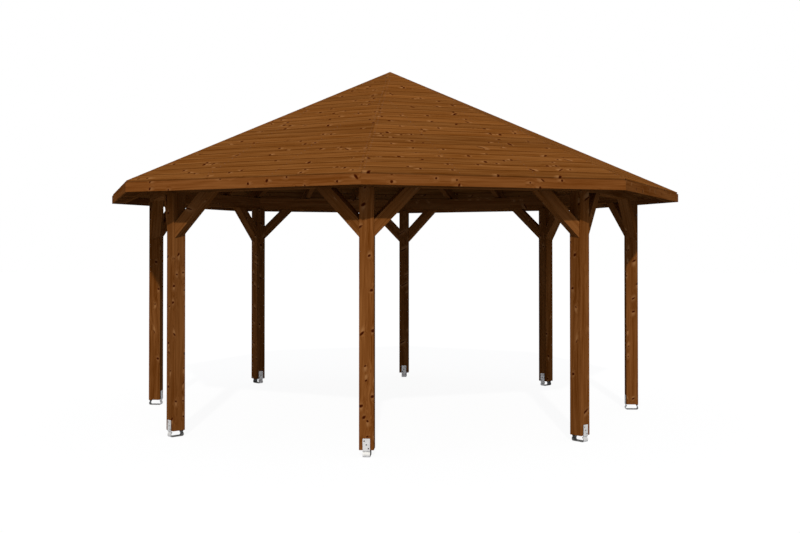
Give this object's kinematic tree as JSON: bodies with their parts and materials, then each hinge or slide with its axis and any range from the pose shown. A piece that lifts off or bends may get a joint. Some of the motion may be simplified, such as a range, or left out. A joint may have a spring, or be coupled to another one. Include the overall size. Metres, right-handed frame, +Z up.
{
  "type": "garden gazebo",
  "caption": "Open octagonal timber gazebo: posts on bent steel strap anchors, braced ring beams, rafters and a boarded tent roof.",
  "frame": {"origin": "centre of the gazebo on the ground, under the peak of the roof", "axes": "+Z up through the peak, one post on each of +X, -X, +Y and -Y, front post on -Y"},
  "size_m": [6.0314, 6.0314, 3.5575],
  "materials": {
    "timber": "walnut-stained planed spruce",
    "roof_boards": "walnut-stained spruce boards",
    "fascia_boards": "walnut-stained spruce boards",
    "galvanised_steel": "hot-dip galvanised"
  },
  "bodies": {
    "root": {"anchor_back": "galvanised_steel", "anchor_back_left": "galvanised_steel", "anchor_back_right": "galvanised_steel", "anchor_front": "galvanised_steel", "anchor_front_left": "galvanised_steel", "anchor_front_right": "galvanised_steel", "anchor_left": "galvanised_steel", "anchor_right": "galvanised_steel", "braces_left": "timber", "braces_right": "timber", "crown_hub": "timber", "fascia_board_1": "fascia_boards", "fascia_board_2": "fascia_boards", "fascia_board_3": "fascia_boards", "fascia_board_4": "fascia_boards", "fascia_board_5": "fascia_boards", "fascia_board_6": "fascia_boards", "fascia_board_7": "fascia_boards", "fascia_board_8": "fascia_boards", "hip_rafters": "timber", "jack_rafters": "timber", "post_back": "timber", "post_back_left": "timber", "post_back_right": "timber", "post_front": "timber", "post_front_left": "timber", "post_front_right": "timber", "post_left": "timber", "post_right": "timber", "ring_beam_1": "timber", "ring_beam_2": "timber", "ring_beam_3": "timber", "ring_beam_4": "timber", "ring_beam_5": "timber", "ring_beam_6": "timber", "ring_beam_7": "timber", "ring_beam_8": "timber", "roof_panel_1": "roof_boards", "roof_panel_2": "roof_boards", "roof_panel_3": "roof_boards", "roof_panel_4": "roof_boards", "roof_panel_5": "roof_boards", "roof_panel_6": "roof_boards", "roof_panel_7": "roof_boards", "roof_panel_8": "roof_boards"}
  },
  "joints": []
}
